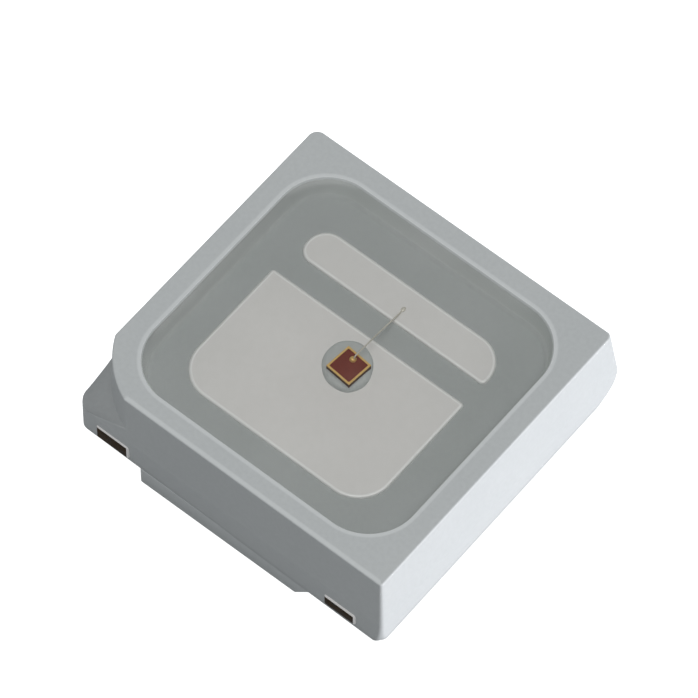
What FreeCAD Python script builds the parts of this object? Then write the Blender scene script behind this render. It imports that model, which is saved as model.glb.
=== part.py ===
"""Surface-mount LED: moulded housing with a filled cavity, two formed leads, one wire-bonded die.

Frame: +X along the housing's longer side, +Y from the large pad to the bar pad, +Z up,
origin on the board under the middle of the package. Millimetres.
"""
import FreeCAD, Part
import math
import os
import Sketcher
from FreeCAD import Placement, Rotation, Vector

SIZES = {
    # housing
    "housing_length": 5.00,  # at the top face, along X
    "housing_width": 4.75,  # at the top face, along Y
    "housing_height": 1.80,  # from the board to the top face
    "flange_clearance": 0.37,  # from the board to the underside of the flange
    "lower_height": 0.53,  # from there to the parting line
    "upper_draft": 0.09,  # how far each side leans out down to the parting line
    "lower_draft": 0.03,  # how far each side leans in below it
    "east_top_corner": 0.04,  # radii of the vertical edges, at the top face
    "west_top_corner": 0.14,
    "front_east_corner": 0.06,  # the same at the parting line
    "back_east_corner": 0.05,
    "west_corner": 0.25,
    "back_east_foot": 0.28,  # and at the flange's underside
    "west_foot": 0.14,
    "mark_corner": 0.93,  # radius of the polarity corner at the top face
    "mark_lift": 0.04,  # from the parting line to the slope at that corner's foot
    "mark_rise": 0.23,  # height of the slope
    "edge_round": 0.025,  # top edges of the housing
    # block under the flange
    "block_west": 1.51,  # from the middle to its square end
    "block_foot": 1.06,  # from the middle to where its sloping end starts
    "block_reach": 1.54,  # from the middle to where that end meets the flange
    "block_angle": 50.0,  # degrees, steepest part of the sloping end
    "block_heel": 0.12,  # radius at the foot of the slope
    "block_root": 0.28,  # radius where the slope meets the flange
    "block_lift": 0.02,  # how far the lands stand out below it
    "block_setback": 0.01,  # from the parting line's outline to the block's front
    # cavity
    "wall_along": 0.33,  # wall at the mouth, at the two ends
    "wall_across": 0.32,  # wall at the mouth, at the front and back
    "cavity_depth": 0.35,
    "cavity_draft": 0.08,  # how far each wall leans in down to the floor
    "cavity_corner": 0.74,  # corner radius at the mouth
    "fill_recess": 0.05,  # how far the filling stays below the top face
    "fill_margin": 0.08,  # how far the filling's blank reaches into the walls that it is cut by
    # leads
    "sheet": 0.20,  # thickness of the lead sheet
    "pad_proud": 0.03,  # how far a pad stands out of the floor
    "pad_chamfer": 0.03,
    "pad_west": 1.68,
    "pad_east": 1.55,
    "pad_front": 1.55,
    "pad_back": 0.51,
    "pad_corner": 0.52,  # front corners
    "pad_back_corner": 0.05,
    "bar_gap": 0.37,  # between the two pads
    "bar_width": 0.565,
    "bar_west": 1.60,
    "bar_east": 1.56,
    "bar_west_front": 0.22,  # corner radii of the bar pad
    "bar_west_back": 0.30,
    "bar_east_front": 0.08,
    "bar_east_back": 0.45,
    "leg_setback": 0.03,  # from a pad's outer edge to its leg
    "leg_west": 1.30,
    "leg_east": 0.90,
    "heel_round": 0.12,  # outside of the bend between leg and land
    "land_gap": 0.70,  # between the two lands
    "land_split": 0.05,  # from the middle of that gap to the middle of the package
    "tie_outer_west": 2.27,
    "tie_inner_west": 1.78,
    "tie_inner_east": 1.60,
    "tie_outer_east": 2.09,
    "tie_lift": 0.075,  # from the flange's underside to the crossbar and the tie bars
    "tie_proud": 0.007,  # how far a sheared tie bar stands out of the housing
    # die and its bonds
    "die_side": 0.42,
    "die_height": 0.12,
    "die_along": 0.07,  # die centre
    "die_across": -0.06,
    "die_turn": -5.4,  # degrees, from how it was placed
    "glue_under": 0.015,  # adhesive under the die
    "glue_rise": 0.07,  # adhesive beside the die
    "glue_long": 0.385,  # half-lengths of the adhesive's oval
    "glue_short": 0.337,
    "glue_slope": 0.05,
    "glue_along": 0.02,
    "glue_across": -0.02,
    "glue_turn": -51.0,
    "metal": 0.01,  # thickness of the die's contact metal
    "border_width": 0.033,
    "bond_pad_radius": 0.046,
    "bond_along": 0.055,  # where the wire starts, on the die
    "bond_across": 0.045,
    "ball_radius": 0.038,
    "ball_height": 0.022,
    "ball_edge": 0.009,  # radius of its upper and lower rims
    "wire_radius": 0.0125,
    "wire_neck": 0.012,  # straight length over the ball
    "wire_bend": 0.04,  # radius of the loop's bend
    "wire_reach": 1.12,  # from the ball to the wire's end, in plan
    "wire_turn": 2.2,  # degrees, from +Y
    "wire_press": 0.026,  # how far the wire is pressed into the bar at its end
    "stitch_back": 0.06,  # from the wire's end back to the middle of its stitch
    "stitch_radius": 0.040,
    "stitch_height": 0.012,
}

TOP = "Sizes.housing_height"
PARTING = "(Sizes.flange_clearance + Sizes.lower_height)"
FLOOR = "(Sizes.housing_height - Sizes.cavity_depth)"
PAD_TOP = "(Sizes.housing_height - Sizes.cavity_depth + Sizes.pad_proud)"
HALF_LENGTH = "(Sizes.housing_length / 2)"
HALF_WIDTH = "(Sizes.housing_width / 2)"
BAR_FRONT = "(Sizes.pad_back + Sizes.bar_gap)"
BAR_BACK = "(Sizes.pad_back + Sizes.bar_gap + Sizes.bar_width)"
TIE_END = "(Sizes.housing_width / 2 + Sizes.upper_draft + Sizes.tie_proud)"
DIE_TOP = f"({PAD_TOP} + Sizes.glue_under + Sizes.die_height)"
BALL_FOOT = f"({DIE_TOP} + Sizes.metal)"
BALL_LIFT = "(Sizes.glue_under + Sizes.die_height + Sizes.metal)"
WIRE_DROP = f"({BALL_LIFT} + Sizes.wire_press)"
FILL_TOP = "(Sizes.housing_height - Sizes.fill_recess)"
ON_AXIS = "0"
ROOT_END = 15.0  # degrees from level, where the block's root meets the flange before the sketch settles
SAME_PLACE = 1e-4

doc = FreeCAD.newDocument("surface_mount_led")
sheet = doc.addObject("Spreadsheet::Sheet", "Sizes")


def fill_sheet():
    """One row for each size: its name, its value and the alias that features read."""
    for row, (name, value) in enumerate(SIZES.items(), start=1):
        sheet.set(f"A{row}", name)
        sheet.set(f"B{row}", str(value))
        sheet.setAlias(f"B{row}", name)
    doc.recompute()


def value(expression):
    """The number that an expression gives with the sheet as it stands."""
    return float(sheet.evalExpression(expression))


def bind(target, **properties):
    """Ties an object's properties to expressions; a double underscore stands for a dot."""
    for name, expression in properties.items():
        target.setExpression(name.replace("__", "."), expression)


def new_body(name):
    body = doc.addObject("PartDesign::Body", name)
    body.Label = name
    return body


def new_sketch(body, name, role="XY_Plane", offset=None):
    """A sketch on one of the body's origin planes, moved along its normal."""
    sketch = body.newObject("Sketcher::SketchObject", name)
    plane = next(f for f in body.Origin.OriginFeatures if f.Role == role)
    sketch.AttachmentSupport = [(plane, "")]
    sketch.MapMode = "FlatFace"
    if offset is not None:
        bind(sketch, AttachmentOffset__Base__z=offset)
    doc.recompute()
    return sketch


def fix_line(sketch, index, kind, expression):
    """Holds an upright or level line at a distance from the sketch's origin, or on its axis."""
    level = kind == "DistanceY"
    sketch.addConstraint(Sketcher.Constraint("Horizontal" if level else "Vertical", index))
    if expression == ON_AXIS:
        sketch.addConstraint(Sketcher.Constraint("PointOnObject", index, 1, -1 if level else -2))
        return
    distance = value(expression)
    ends = (-1, 1, index, 1) if distance > 0 else (index, 1, -1, 1)
    number = sketch.addConstraint(Sketcher.Constraint(kind, *ends, abs(distance)))
    signed = expression if distance > 0 else f"-({expression})"
    sketch.setExpression(f"Constraints[{number}]", signed)


def add_outline(sketch, corners):
    """A closed outline of level and upright sides.

    Each corner is (across, up, radius) as expressions, and radius is None where it is sharp.
    """
    count = len(corners)
    points = [Vector(value(x), value(y), 0) for x, y, _ in corners]
    radii = [value(r) if r else 0 for _, _, r in corners]
    forward = [(points[(i + 1) % count] - points[i]).normalize() for i in range(count)]
    starts = [points[i] + forward[i] * radii[i] for i in range(count)]
    ends = [points[(i + 1) % count] - forward[i] * radii[(i + 1) % count] for i in range(count)]
    sides = [sketch.addGeometry(Part.LineSegment(starts[i], ends[i])) for i in range(count)]
    for i, (_, _, radius) in enumerate(corners):
        before, after = sides[i - 1], sides[i]
        if radius is None:
            sketch.addConstraint(Sketcher.Constraint("Coincident", before, 2, after, 1))
            continue
        turn = forward[i - 1].cross(forward[i]).z
        centre = starts[i] - forward[i - 1] * radii[i]
        middle = centre + (points[i] - centre).normalize() * radii[i]
        arc = sketch.addGeometry(Part.Arc(ends[i - 1], middle, starts[i]))
        first, last = (1, 2) if turn > 0 else (2, 1)
        sketch.addConstraint(Sketcher.Constraint("Tangent", before, 2, arc, first))
        sketch.addConstraint(Sketcher.Constraint("Tangent", arc, last, after, 1))
        number = sketch.addConstraint(Sketcher.Constraint("Radius", arc, radii[i]))
        sketch.setExpression(f"Constraints[{number}]", radius)
    for i, (across, up, _) in enumerate(corners):
        level = abs(forward[i].y) < abs(forward[i].x)
        fix_line(sketch, sides[i], "DistanceY" if level else "DistanceX", up if level else across)


def rectangle(west, east, south, north, radii=(None, None, None, None)):
    """Corners of a rectangle, from the south-west one counter-clockwise."""
    places = ((west, south), (east, south), (east, north), (west, north))
    return [(x, y, r) for (x, y), r in zip(places, radii)]


def centred(half_length, half_width, radii):
    return rectangle(f"-({half_length})", half_length, f"-({half_width})", half_width, radii)


def pad_sketch(body, sketch, length, name):
    pad = body.newObject("PartDesign::Pad", name)
    pad.Profile = sketch
    bind(pad, Length=length)
    return pad


def loft_sketches(body, kind, lower, upper, name):
    loft = body.newObject(kind, name)
    loft.Profile = lower
    loft.Sections = [upper]
    loft.Ruled = True
    doc.recompute()
    return loft


def edge_names(shape, wanted):
    """Names of the edges whose two end points both answer to wanted."""
    return [
        f"Edge{i}"
        for i, edge in enumerate(shape.Edges, start=1)
        if all(wanted(v.Point) for v in edge.Vertexes) and wanted(edge.CenterOfMass)
    ]


def dress_edges(body, kind, wanted, size, name):
    """A Fillet or Chamfer on the edges of the body's tip that answer to wanted."""
    doc.recompute()
    base = body.Tip
    dressing = body.newObject(f"PartDesign::{kind}", name)
    dressing.Base = (base, edge_names(base.Shape, wanted))
    bind(dressing, **{"Radius" if kind == "Fillet" else "Size": size})
    doc.recompute()
    return dressing


def near(a, b):
    return abs(a - b) < SAME_PLACE


def housing_outline(body, name, height, lean, radii):
    """The housing's outline at a height, each side moved out by lean."""
    sketch = new_sketch(body, name, offset=height)
    add_outline(sketch, centred(f"{HALF_LENGTH} + {lean}", f"{HALF_WIDTH} + {lean}", radii))
    return sketch


def upper_outline(body, name, height, marked):
    """The upper half's outline at a height, its sides and corners in step between their two ends."""
    share = f"({TOP} - {height}) / ({TOP} - {PARTING})"
    lean = f"Sizes.upper_draft * {share}"

    def radius(top, parting):
        return f"{top} + ({parting} - {top}) * {share}"

    west = radius("Sizes.west_top_corner", "Sizes.west_corner")
    radii = (
        f"Sizes.mark_corner + {lean}" if marked else west,
        radius("Sizes.east_top_corner", "Sizes.front_east_corner"),
        radius("Sizes.east_top_corner", "Sizes.back_east_corner"),
        west,
    )
    return housing_outline(body, name, height, lean, radii)


def add_flange(body):
    """Sides that lean out to the parting line and in above it, with a slope under the marked corner."""
    foot_radii = [f"Sizes.{c}" for c in ("west_foot", "front_east_corner", "back_east_foot", "west_foot")]
    lean = "Sizes.upper_draft - Sizes.lower_draft"
    slope_foot = f"({PARTING} + Sizes.mark_lift)"
    slope_top = f"({PARTING} + Sizes.mark_lift + Sizes.mark_rise)"
    outlines = [
        housing_outline(body, "flange_foot", "Sizes.flange_clearance", lean, foot_radii),
        upper_outline(body, "flange_parting", PARTING, marked=False),
        upper_outline(body, "slope_foot", slope_foot, marked=False),
        upper_outline(body, "slope_top", slope_top, marked=True),
        upper_outline(body, "flange_top", TOP, marked=True),
    ]
    names = "flange_lower", "flange_middle", "mark_slope", "flange_upper"
    for name, low, high in zip(names, outlines, outlines[1:]):
        loft_sketches(body, "PartDesign::AdditiveLoft", low, high, name)


def block_points():
    """Corners and joints of the block's profile, first foot to last, near where they will settle."""
    low, high = value("Sizes.block_lift"), value("Sizes.flange_clearance")
    heel, root = value("Sizes.block_heel"), value("Sizes.block_root")
    slope, last = math.radians(value("Sizes.block_angle")), math.radians(ROOT_END)
    heel_start = Vector(value("Sizes.block_foot"), low, 0)

    def on_heel(angle):
        return heel_start + Vector(heel * math.sin(angle), heel * (1 - math.cos(angle)), 0)

    rise = high - on_heel(slope).y - root * (math.cos(last) - math.cos(slope))
    foot = on_heel(slope)
    joint = foot + Vector(rise / math.tan(slope), rise, 0)

    def on_root(angle):
        run, lift = math.sin(slope) - math.sin(angle), math.cos(angle) - math.cos(slope)
        return joint + Vector(root * run, root * lift, 0)

    west = -value("Sizes.block_west")
    corners = Vector(west, low, 0), on_heel(0), foot, joint, on_root(last), Vector(west, high, 0)
    return corners, on_heel(slope / 2), on_root((slope + last) / 2)


def add_block(body):
    """Block under the flange, square at one end, with a rounded foot and root at the sloping end."""
    sketch = new_sketch(body, "block_profile", "XZ_Plane")
    (start, foot, rise, joint, reach, back), on_heel, on_root = block_points()
    sole = sketch.addGeometry(Part.LineSegment(start, foot))
    heel = sketch.addGeometry(Part.Arc(foot, on_heel, rise))
    slope = sketch.addGeometry(Part.LineSegment(rise, joint))
    root = sketch.addGeometry(Part.Arc(joint, on_root, reach))
    top = sketch.addGeometry(Part.LineSegment(reach, back))
    west = sketch.addGeometry(Part.LineSegment(back, start))
    for constraint in (
        ("Tangent", sole, 2, heel, 1),
        ("Tangent", heel, 2, slope, 1),
        ("Tangent", slope, 2, root, 2),
        ("Coincident", root, 1, top, 1),
        ("Coincident", top, 2, west, 1),
        ("Coincident", west, 2, sole, 1),
    ):
        sketch.addConstraint(Sketcher.Constraint(*constraint))
    fix_line(sketch, sole, "DistanceY", "Sizes.block_lift")
    fix_line(sketch, top, "DistanceY", "Sizes.flange_clearance")
    fix_line(sketch, west, "DistanceX", "-Sizes.block_west")
    for constraint, expression in (
        (("Radius", heel), "Sizes.block_heel"),
        (("Radius", root), "Sizes.block_root"),
        (("DistanceX", -1, 1, sole, 2), "Sizes.block_foot"),
        (("DistanceX", -1, 1, top, 1), "Sizes.block_reach"),
    ):
        number = sketch.addConstraint(Sketcher.Constraint(*constraint, value(expression)))
        sketch.setExpression(f"Constraints[{number}]", expression)
    angle = math.radians(value("Sizes.block_angle"))
    number = sketch.addConstraint(Sketcher.Constraint("Angle", slope, angle))
    sketch.setExpression(f"Constraints[{number}]", "Sizes.block_angle * 1 deg")
    pad = pad_sketch(body, sketch, f"2 * ({HALF_WIDTH} + Sizes.upper_draft - Sizes.block_setback)", "block")
    pad.Midplane = True


def cut_cavity(body):
    """Cavity with rounded corners, a little narrower at its floor."""
    half_length = f"{HALF_LENGTH} - Sizes.wall_along"
    half_width = f"{HALF_WIDTH} - Sizes.wall_across"
    corner, lean = "Sizes.cavity_corner", "Sizes.cavity_draft"
    mouth = new_sketch(body, "cavity_mouth", offset=TOP)
    add_outline(mouth, centred(half_length, half_width, [corner] * 4))
    floor = new_sketch(body, "cavity_floor", offset=FLOOR)
    narrow = f"{corner} - {lean}"
    add_outline(floor, centred(f"{half_length} - {lean}", f"{half_width} - {lean}", [narrow] * 4))
    loft_sketches(body, "PartDesign::SubtractiveLoft", mouth, floor, "cavity")


def make_housing_blank():
    body = new_body("housing_blank")
    add_flange(body)
    add_block(body)
    cut_cavity(body)
    top = value(TOP)
    dress_edges(body, "Fillet", lambda p: near(p.z, top), "Sizes.edge_round", "top_edges")
    return body


def add_leg(body, name, leg_outer, leg_inner, land_end):
    """Leg down from the pad's underside, with the land turned in at its foot."""
    inside_pad = f"{PAD_TOP} - Sizes.sheet / 2"
    profile = new_sketch(body, f"{name}_leg_profile", "YZ_Plane", offset="-Sizes.leg_west")
    corners = [
        (leg_outer, ON_AXIS, "Sizes.heel_round"),
        (land_end, ON_AXIS, None),
        (land_end, "Sizes.sheet", None),
        (leg_inner, "Sizes.sheet", None),
        (leg_inner, inside_pad, None),
        (leg_outer, inside_pad, None),
    ]
    add_outline(profile, corners)
    pad_sketch(body, profile, "Sizes.leg_west + Sizes.leg_east", f"{name}_leg")


def add_strip(body, name, west, east, ends):
    """A level strip of the sheet inside the flange, between two places along Y."""
    front, back = sorted(ends, key=value)
    strip = new_sketch(body, f"{name}_outline", offset="Sizes.flange_clearance + Sizes.tie_lift")
    add_outline(strip, rectangle(west, east, front, back))
    pad_sketch(body, strip, "Sizes.sheet", name)


def make_lead(name, outline, leg_outer, land_end, side):
    """One lead: pad, leg under its outer edge, land turned in below, two tie bars to the outside.

    side is -1 for the lead whose leg and tie bars lie toward -Y, and 1 for the other.
    """
    body = new_body(name)
    pad = new_sketch(body, f"{name}_pad_outline", offset=f"{PAD_TOP} - Sizes.sheet")
    add_outline(pad, outline)
    pad_sketch(body, pad, "Sizes.sheet", f"{name}_pad")
    pad_top = value(PAD_TOP)
    dress_edges(body, "Chamfer", lambda p: near(p.z, pad_top), "Sizes.pad_chamfer", f"{name}_pad_edge")
    leg_inner = f"{leg_outer} - {side} * Sizes.sheet"
    add_leg(body, name, leg_outer, leg_inner, land_end)
    tie_end = TIE_END if side > 0 else f"-{TIE_END}"
    west, east = "-Sizes.tie_outer_west", "Sizes.tie_outer_east"
    add_strip(body, f"{name}_cross", west, east, (leg_outer, leg_inner))
    add_strip(body, f"{name}_tie_1", west, "-Sizes.tie_inner_west", (leg_inner, tie_end))
    add_strip(body, f"{name}_tie_2", "Sizes.tie_inner_east", east, (leg_inner, tie_end))
    doc.recompute()
    return body


def cut(name, base, tools):
    """Base without the tools, as a boolean of its own."""
    if len(tools) > 1:
        joined = doc.addObject("Part::MultiFuse", f"{name}_tools")
        joined.Shapes = tools
    else:
        joined = tools[0]
    result = doc.addObject("Part::Cut", name)
    result.Base = base
    result.Tool = joined
    result.Label = name
    doc.recompute()
    return result


def place(obj, along, across, height, turn="0"):
    """Puts an object at a point given by expressions, turned about Z."""
    obj.Placement = Placement(Vector(0, 0, 0), Rotation(Vector(0, 0, 1), 0))
    bind(
        obj,
        Placement__Base__x=along,
        Placement__Base__y=across,
        Placement__Base__z=height,
        Placement__Rotation__Angle=turn,
    )
    doc.recompute()


def make_die():
    """Square chip, turned a little as it was placed."""
    body = new_body("die")
    sketch = new_sketch(body, "die_outline")
    half = "Sizes.die_side / 2"
    add_outline(sketch, centred(half, half, [None] * 4))
    pad_sketch(body, sketch, "Sizes.die_height", "die_pad")
    place(body, "Sizes.die_along", "Sizes.die_across", f"{PAD_TOP} + Sizes.glue_under", "Sizes.die_turn")
    return body


def make_die_border():
    """Frame of contact metal round the die's top face."""
    body = new_body("die_border")
    sketch = new_sketch(body, "border_outline")
    outer = "Sizes.die_side / 2"
    inner = f"{outer} - Sizes.border_width"
    add_outline(sketch, centred(outer, outer, [None] * 4))
    add_outline(sketch, centred(inner, inner, [None] * 4))
    pad_sketch(body, sketch, "Sizes.metal", "border_pad")
    place(body, "Sizes.die_along", "Sizes.die_across", DIE_TOP, "Sizes.die_turn")
    return body


def make_bond_pad():
    """Round contact on the die's top face, under the wire's ball."""
    disc = doc.addObject("Part::Cylinder", "bond_pad")
    disc.Label = "bond_pad"
    bind(disc, Radius="Sizes.bond_pad_radius", Height="Sizes.metal")
    place(disc, "Sizes.bond_along", "Sizes.bond_across", DIE_TOP)
    return disc


def make_die_attach(die):
    """Oval of adhesive that the die sits in, a little higher beside the die than under it."""
    rings = []
    levels = ("glue_foot", ON_AXIS, "0"), ("glue_crown", "Sizes.glue_rise", "Sizes.glue_slope")
    for name, height, lean in levels:
        ring = doc.addObject("Part::Ellipse", name)
        bind(ring, MajorRadius=f"Sizes.glue_long - {lean}", MinorRadius=f"Sizes.glue_short - {lean}")
        place(ring, "Sizes.glue_along", "Sizes.glue_across", f"{PAD_TOP} + {height}", "Sizes.glue_turn")
        rings.append(ring)
    blob = doc.addObject("Part::Loft", "glue_blob")
    blob.Sections = rings
    blob.Solid = True
    blob.Ruled = True
    doc.recompute()
    return cut("die_attach", blob, [die])


def circle_sketch(body, name, radius, offset=None, across=ON_AXIS):
    """A circle on the sketch's upright axis, across away from its origin."""
    sketch = new_sketch(body, name, offset=offset)
    centre = Vector(0, value(across), 0)
    circle = sketch.addGeometry(Part.Circle(centre, Vector(0, 0, 1), value(radius)))
    number = sketch.addConstraint(Sketcher.Constraint("Radius", circle, value(radius)))
    sketch.setExpression(f"Constraints[{number}]", radius)
    if across == ON_AXIS:
        sketch.addConstraint(Sketcher.Constraint("Coincident", circle, 3, -1, 1))
        return sketch
    sketch.addConstraint(Sketcher.Constraint("PointOnObject", circle, 3, -2))
    number = sketch.addConstraint(Sketcher.Constraint("DistanceY", -1, 1, circle, 3, centre.y))
    sketch.setExpression(f"Constraints[{number}]", across)
    return sketch


def add_ball(body):
    """Ball bonded to the die, flattened by the bonding tool."""
    outline = circle_sketch(body, "ball_outline", "Sizes.ball_radius")
    pad_sketch(body, outline, "Sizes.ball_height", "ball")
    height = value("Sizes.ball_height")
    ends = (0, height)
    dress_edges(
        body, "Fillet", lambda p: any(near(p.z, end) for end in ends), "Sizes.ball_edge", "ball_round"
    )


def wire_path(body):
    """Up from the ball, over a tight bend, then straight down to the bar."""
    sketch = new_sketch(body, "wire_path", "YZ_Plane")
    low, high = value("Sizes.ball_height / 2"), value("Sizes.ball_height + Sizes.wire_neck")
    bend, reach, depth = value("Sizes.wire_bend"), value("Sizes.wire_reach"), value(WIRE_DROP)
    centre = Vector(bend, high, 0)
    fall = math.atan2(high + bend + depth, reach - bend)
    crest = centre + Vector(math.sin(fall), math.cos(fall), 0) * bend
    middle = centre + Vector(-1, 1, 0).normalize() * bend
    neck = sketch.addGeometry(Part.LineSegment(Vector(0, low, 0), Vector(0, high, 0)))
    turn = sketch.addGeometry(Part.Arc(Vector(0, high, 0), middle, crest))
    run = sketch.addGeometry(Part.LineSegment(crest, Vector(reach, -depth, 0)))
    sketch.addConstraint(Sketcher.Constraint("PointOnObject", neck, 1, -2))
    sketch.addConstraint(Sketcher.Constraint("Vertical", neck))
    sketch.addConstraint(Sketcher.Constraint("Tangent", neck, 2, turn, 2))
    sketch.addConstraint(Sketcher.Constraint("Tangent", turn, 1, run, 1))
    for constraint, expression in (
        (("DistanceY", -1, 1, neck, 1), "Sizes.ball_height / 2"),
        (("DistanceY", -1, 1, neck, 2), "Sizes.ball_height + Sizes.wire_neck"),
        (("Radius", turn), "Sizes.wire_bend"),
        (("DistanceX", -1, 1, run, 2), "Sizes.wire_reach"),
        (("DistanceY", run, 2, -1, 1), WIRE_DROP),
    ):
        number = sketch.addConstraint(Sketcher.Constraint(*constraint, value(expression)))
        sketch.setExpression(f"Constraints[{number}]", expression)
    return sketch


def make_bond_wire(bar_lead):
    """Ball, wire and the flattened stitch where the wire ends on the bar pad."""
    body = new_body("wire_blank")
    add_ball(body)
    section = circle_sketch(body, "wire_section", "Sizes.wire_radius", "Sizes.ball_height / 2")
    path = wire_path(body)
    pipe = body.newObject("PartDesign::AdditivePipe", "wire")
    pipe.Profile = section
    pipe.Spine = (path, ["Edge1", "Edge2", "Edge3"])
    doc.recompute()
    stitch_across = "Sizes.wire_reach - Sizes.stitch_back"
    foot = circle_sketch(body, "stitch_outline", "Sizes.stitch_radius", f"-{BALL_LIFT}", stitch_across)
    pad_sketch(body, foot, "Sizes.stitch_height", "stitch")
    place(body, "Sizes.bond_along", "Sizes.bond_across", BALL_FOOT, "Sizes.wire_turn")
    return cut("bond_wire", body, [bar_lead])


def make_encapsulant(neighbours):
    """Clear filling that takes up all of the cavity that the other pieces leave."""
    body = new_body("fill_blank")
    sketch = new_sketch(body, "fill_outline", offset=FLOOR)
    into_wall = "Sizes.fill_margin"
    half_length = f"{HALF_LENGTH} - Sizes.wall_along + {into_wall}"
    half_width = f"{HALF_WIDTH} - Sizes.wall_across + {into_wall}"
    add_outline(sketch, centred(half_length, half_width, [f"Sizes.cavity_corner + {into_wall}"] * 4))
    pad_sketch(body, sketch, f"{FILL_TOP} - {FLOOR}", "fill_pad")
    return cut("encapsulant", body, neighbours)


def pad_outline():
    front, back = "Sizes.pad_corner", "Sizes.pad_back_corner"
    radii = (front, front, back, back)
    return rectangle("-Sizes.pad_west", "Sizes.pad_east", "-Sizes.pad_front", "Sizes.pad_back", radii)


def bar_outline():
    radii = [f"Sizes.bar_{place}" for place in ("west_front", "east_front", "east_back", "west_back")]
    return rectangle("-Sizes.bar_west", "Sizes.bar_east", BAR_FRONT, BAR_BACK, radii)


def make_parts():
    """Every piece by its node name."""
    pad_leg = "-(Sizes.pad_front - Sizes.leg_setback)"
    pad_land = "-(Sizes.land_gap / 2 - Sizes.land_split)"
    bar_leg = f"({BAR_BACK} - Sizes.leg_setback)"
    bar_land = "(Sizes.land_gap / 2 + Sizes.land_split)"
    pad_lead = make_lead("die_pad_lead", pad_outline(), pad_leg, pad_land, -1)
    bar_lead = make_lead("bar_lead", bar_outline(), bar_leg, bar_land, 1)
    housing = cut("housing", make_housing_blank(), [pad_lead, bar_lead])
    die = make_die()
    die_attach = make_die_attach(die)
    bonds = [make_die_border(), make_bond_pad(), make_bond_wire(bar_lead)]
    inside = [pad_lead, bar_lead, die, die_attach, *bonds]
    pieces = [housing, *inside, make_encapsulant([housing, *inside])]
    return {piece.Label: piece for piece in pieces}


def check_and_export(parts):
    """Stops on a failed feature or shape, then writes one STEP file for each piece."""
    doc.recompute()
    failed = [o.Name for o in doc.Objects if {"Invalid", "Error"} & set(o.State)]
    bad = [name for name, part in parts.items() if part.Shape.isNull() or not part.Shape.isValid()]
    if failed or bad:
        raise RuntimeError(f"failed features {failed}, bad shapes {bad}")
    os.makedirs("parts", exist_ok=True)
    for name, part in parts.items():
        part.Shape.exportStep(f"parts/{name}.step")


fill_sheet()
check_and_export(make_parts())
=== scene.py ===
import math

import bmesh
import bpy
from mathutils import Euler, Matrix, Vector


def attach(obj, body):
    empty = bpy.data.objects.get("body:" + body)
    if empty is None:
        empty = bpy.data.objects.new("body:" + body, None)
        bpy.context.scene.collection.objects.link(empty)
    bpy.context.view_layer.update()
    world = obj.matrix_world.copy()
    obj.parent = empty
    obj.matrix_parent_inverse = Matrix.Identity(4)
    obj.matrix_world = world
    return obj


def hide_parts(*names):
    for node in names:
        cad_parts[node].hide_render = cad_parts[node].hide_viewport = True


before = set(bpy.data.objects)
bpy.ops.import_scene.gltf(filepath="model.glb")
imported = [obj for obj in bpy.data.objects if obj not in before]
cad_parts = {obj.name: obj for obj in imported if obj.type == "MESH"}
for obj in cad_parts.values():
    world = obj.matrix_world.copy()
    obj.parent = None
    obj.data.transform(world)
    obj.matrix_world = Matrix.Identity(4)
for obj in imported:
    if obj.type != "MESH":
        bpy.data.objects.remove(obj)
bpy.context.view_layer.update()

MM = 0.001
ARC_STEPS, CIRCLE_STEPS, OVAL_STEPS = 24, 48, 120
CORNER_POINTS = ARC_STEPS + 3  # an arc and a guard point beyond each of its ends
GUARD = 0.02  # how far a guard point stands from its arc
LEAST_RADIUS, LEAST_CORNER = 0.002, 0.006  # of a small plate's corners and of the housing's
SHARP = math.radians(38)  # faces that meet at a wider angle have an edge between them

# housing, in millimetres as everywhere below
HALF_LENGTH, HALF_WIDTH = 2.50, 2.375  # at the top face
TOP, PARTING, FLANGE_FOOT, FLOOR = 1.80, 0.90, 0.37, 1.45
UPPER_DRAFT, LOWER_DRAFT, MARK_DRAFT = 0.09, 0.03, 0.05
BACK_SET = 0.012  # how much farther the top face reaches at the back
TOP_CORNERS = (0.14, 0.04, 0.085, 0.14)  # from the front-west corner counter-clockwise
PARTING_CORNERS = (0.25, 0.06, 0.05, 0.25)
FOOT_CORNERS = (0.14, 0.13, 0.42, 0.14)
FOOT_LEANS = (1, 3, 4, 1)  # how late each corner draws in to its foot
FOOT_DROPS = (0.07, 0.025)  # how much lower the flange's underside is before and after its front-east corner
MARK_CENTRE, MARK_RADIUS, SLOPE_FOOT, SLOPE_TOP = (-1.265, -1.099), 1.376, 0.94, 1.17
SLOPE_HOLLOW = 0.82  # under one, the slope is hollow
SLOPE_STEPS = (0, 1, 3, 7, 12, 18, 25, 32, 37)  # of the slope's outlines, in crisp edges above its foot
LOWER_RISES = (0.10, 0.17, 0.25, 0.34, 0.43)  # of the lower half's outlines, above the flange's underside
CRISP, WALL_CRISP = 0.006, 0.004  # between two outlines that hold an edge
FOOT_ROUND, EDGE_ROUND, MOUTH_ROUND, RIM_WIDTH = 0.012, 0.022, 0.008, 0.055
RIM_FADE = ((0.15, 1), (0.55, 1), (0.8, 0.5), (1, 0))  # painted highlight's share along the rim's width, from the edge in
# painted light and shade on the plastic: painted light above nought, painted shade below it
# painted highlight on the rims, painted light on the wall's strip above the filling and on the cavity's
# floor
RIM_HIGHLIGHT, WALL_STRIP_LIGHT, CAVITY_FLOOR_LIGHT = 0.17, 0.48, 0.15
WALL_TOP, WALL_FOOT = (0.51, 0.87), (0.70, 0.98)  # painted light on the wall at its top and at its foot, each on the west wall and on the others
DARKEST_SHADE, SLOPE_SHADE = -1.0, (-1.0, -0.52)  # the darkest painted shade, and the slope's painted shade at its foot and at its top
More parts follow.
